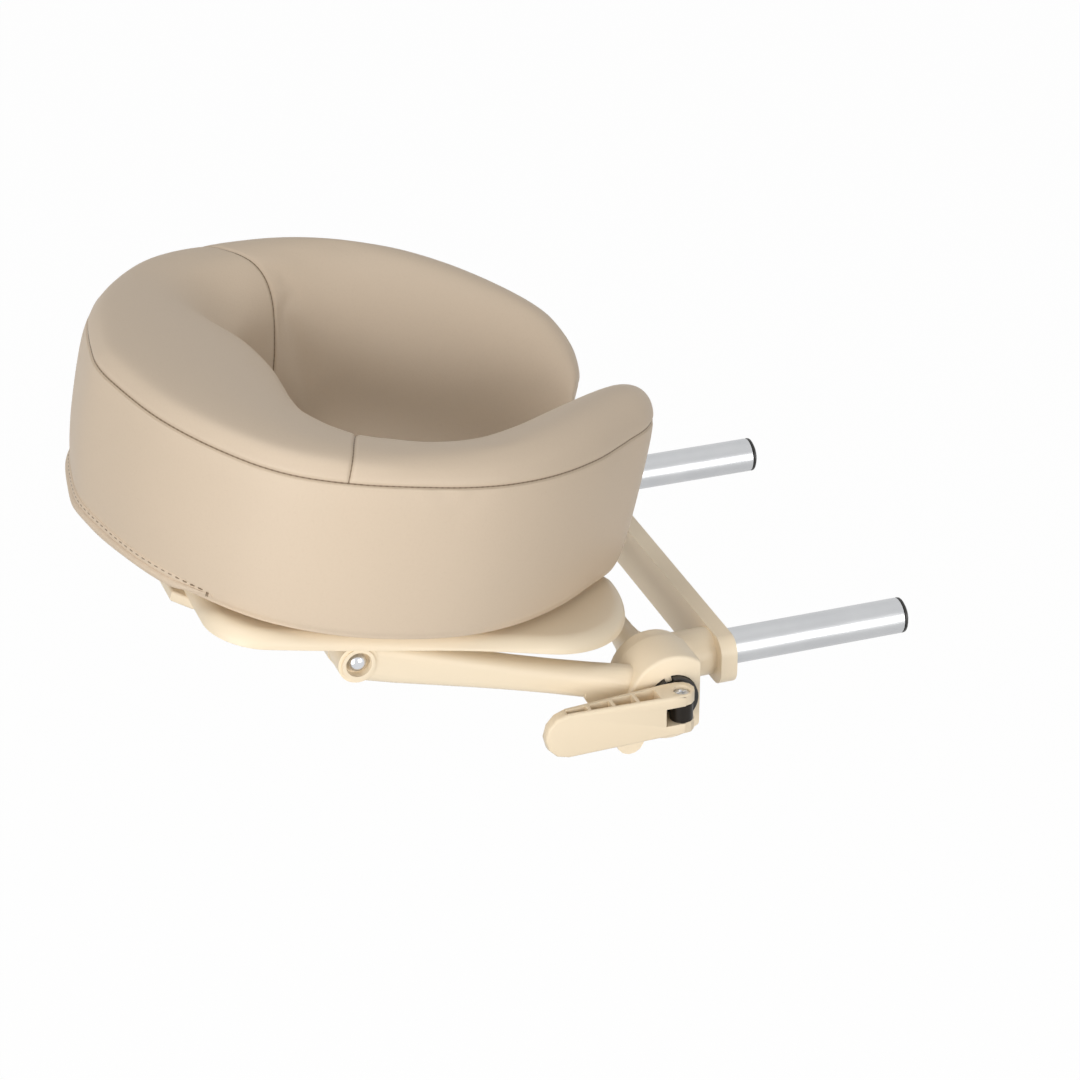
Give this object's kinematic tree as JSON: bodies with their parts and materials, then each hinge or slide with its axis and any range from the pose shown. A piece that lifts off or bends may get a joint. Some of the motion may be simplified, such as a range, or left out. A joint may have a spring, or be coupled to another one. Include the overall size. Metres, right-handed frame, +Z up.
{
  "type": "face cradle",
  "caption": "Horseshoe face cushion on a tilting moulded platform, carried by swing arms that a cam clamp locks to a base with mounting posts.",
  "frame": {"origin": "centre of the flat back face of the base bar, midway between the two mounting posts and level with the hub axis", "axes": "+X out of the flat back, along the posts; +Z up; +Y to the far side, away from the cam lever"},
  "size_m": [0.4206, 0.3126, 0.2108],
  "materials": {
    "cream_plastic": "moulded, satin",
    "black_plastic": "satin",
    "black_steel": "black oxide",
    "zinc_steel": "zinc plated",
    "chrome_steel": "polished",
    "friction_fibre": "matt",
    "grip_fabric": "hook and loop pile",
    "cover_vinyl": "soft synthetic leather over foam, satin",
    "lever_plastic": "moulded, satin"
  },
  "bodies": {
    "base": {"base_yoke": "cream_plastic", "post_near": "zinc_steel", "post_far": "zinc_steel", "post_cap_near": "black_plastic", "post_cap_far": "black_plastic", "friction_disc_near": "friction_fibre", "friction_disc_far": "friction_fibre"},
    "clamp": {"clamp_rod": "black_steel", "clamp_nut": "zinc_steel", "cam_pin": "zinc_steel"},
    "lever": {"cam_lever": "lever_plastic"},
    "arms": {"arm_near": "cream_plastic", "arm_far": "cream_plastic", "cam_saddle": "black_plastic", "far_washer": "black_plastic"},
    "platform": {"wing_near": "cream_plastic", "wing_far": "cream_plastic", "pivot_bracket_near": "cream_plastic", "pivot_bracket_far": "cream_plastic", "pivot_bolt_near": "chrome_steel", "pivot_bolt_far": "chrome_steel", "pivot_nut_near": "zinc_steel", "pivot_nut_far": "zinc_steel", "crown_bridge": "cream_plastic", "bridge_screw_near": "zinc_steel", "bridge_screw_far": "zinc_steel", "hook_strip_near": "grip_fabric", "hook_strip_far": "grip_fabric"},
    "pad": {"cushion": "cover_vinyl", "closing_flap": "cover_vinyl", "loop_strip_near": "grip_fabric", "loop_strip_far": "grip_fabric"}
  },
  "joints": [
    {"name": "clamp_slide", "type": "slide", "parent": "base", "child": "clamp", "axis": [0, 1, 0], "range_m": [0, 0.0012]},
    {"name": "lever_hinge", "type": "hinge", "parent": "clamp", "child": "lever", "pos_m": [-0.0445, -0.1527, 0], "axis": [0, 0, 1], "range_deg": [0, 100]},
    {"name": "arm_hinge", "type": "hinge", "parent": "base", "child": "arms", "pos_m": [-0.0445, 0, 0], "axis": [0, 1, 0], "range_deg": [-45, 28]},
    {"name": "platform_tilt", "type": "hinge", "parent": "arms", "child": "platform", "pos_m": [-0.20898, 0, 0.05029], "axis": [0, 1, 0], "range_deg": [-45, 4]},
    {"name": "cushion_lift", "type": "slide", "parent": "platform", "child": "pad", "axis": [0.213, 0, 0.977], "range_m": [0, 0.06]}
  ],
  "couplings": [
    {"joint": "clamp_slide", "follows": "lever_hinge", "m_per_rad": 0.0006875}
  ]
}
